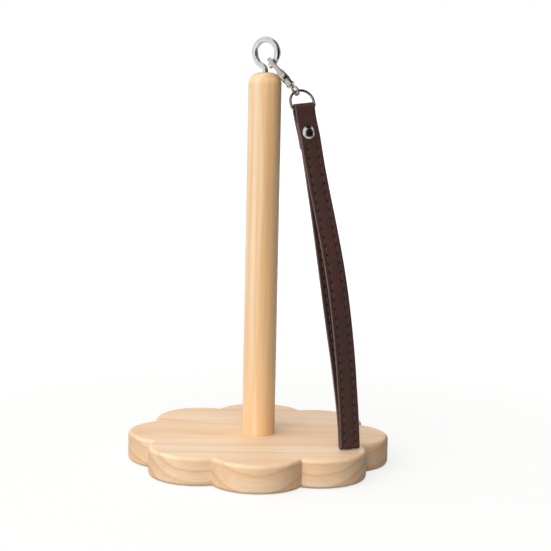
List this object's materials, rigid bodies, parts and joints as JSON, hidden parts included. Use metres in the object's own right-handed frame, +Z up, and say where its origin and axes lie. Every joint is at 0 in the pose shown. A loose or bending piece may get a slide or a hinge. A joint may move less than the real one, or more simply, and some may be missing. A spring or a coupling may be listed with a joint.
{
  "type": "wrist yarn holder",
  "caption": "Wooden yarn stand with a scalloped base and upright post, a screw eye on top and a stitched leather wrist strap hung from it by a swivel clasp and D-ring.",
  "frame": {"origin": "centre of the base's underside, on the post's axis", "axes": "+Z up along the post, the strap hangs towards -Y and +X"},
  "size_m": [0.1142, 0.1142, 0.1945],
  "materials": {
    "base_wood": "fine sanded pale wood",
    "post_wood": "fine sanded warm pale wood",
    "nickel": "bright nickel plate",
    "steel": "plain bright steel",
    "leather": "dark brown fine-grained leather",
    "lining": "brown leather lining"
  },
  "bodies": {
    "stand": {"base": "base_wood", "post": "post_wood", "post_screw": "steel", "screw_eye": "nickel"},
    "clasp": {"clasp_hook": "nickel", "gate_pin": "steel", "gate_spring": "steel"},
    "gate": {"clasp_gate": "nickel"},
    "swivel": {"swivel_eye": "nickel"},
    "d_ring": {"d_ring": "nickel"},
    "strap": {"strap_outer": "leather", "strap_lining": "lining", "rivet_cap": "nickel", "rivet_stud": "nickel"}
  },
  "joints": [
    {"name": "clasp_orbit", "type": "hinge", "parent": "stand", "child": "clasp", "pos_m": [0.0002, -0.00028, 0.18708], "axis": [-0.8192, -0.5736, 0], "range_deg": [0, 260]},
    {"name": "gate_open", "type": "hinge", "parent": "clasp", "child": "gate", "pos_m": [0.00681, -0.00657, 0.17638], "axis": [0.7028, -0.2669, 0.6594], "range_deg": [0, 30], "stiffness_Nm_per_rad": 0.005, "springref_deg": -11.46, "deforming": ["gate_spring"]},
    {"name": "swivel_spin", "type": "hinge", "parent": "clasp", "child": "swivel", "pos_m": [0.0095, -0.01356, 0.17069], "axis": [0.4173, -0.596, -0.6861], "continuous": true},
    {"name": "d_ring_slide", "type": "hinge", "parent": "swivel", "child": "d_ring", "pos_m": [0.01154, -0.01587, 0.16613], "axis": [-0.0413, -0.8988, 0.4364], "range_deg": [0, 65]},
    {"name": "strap_swing", "type": "hinge", "parent": "d_ring", "child": "strap", "pos_m": [0.01179, -0.01714, 0.16354], "axis": [-0.9956, 0, -0.0941], "range_deg": [0, 120]}
  ]
}
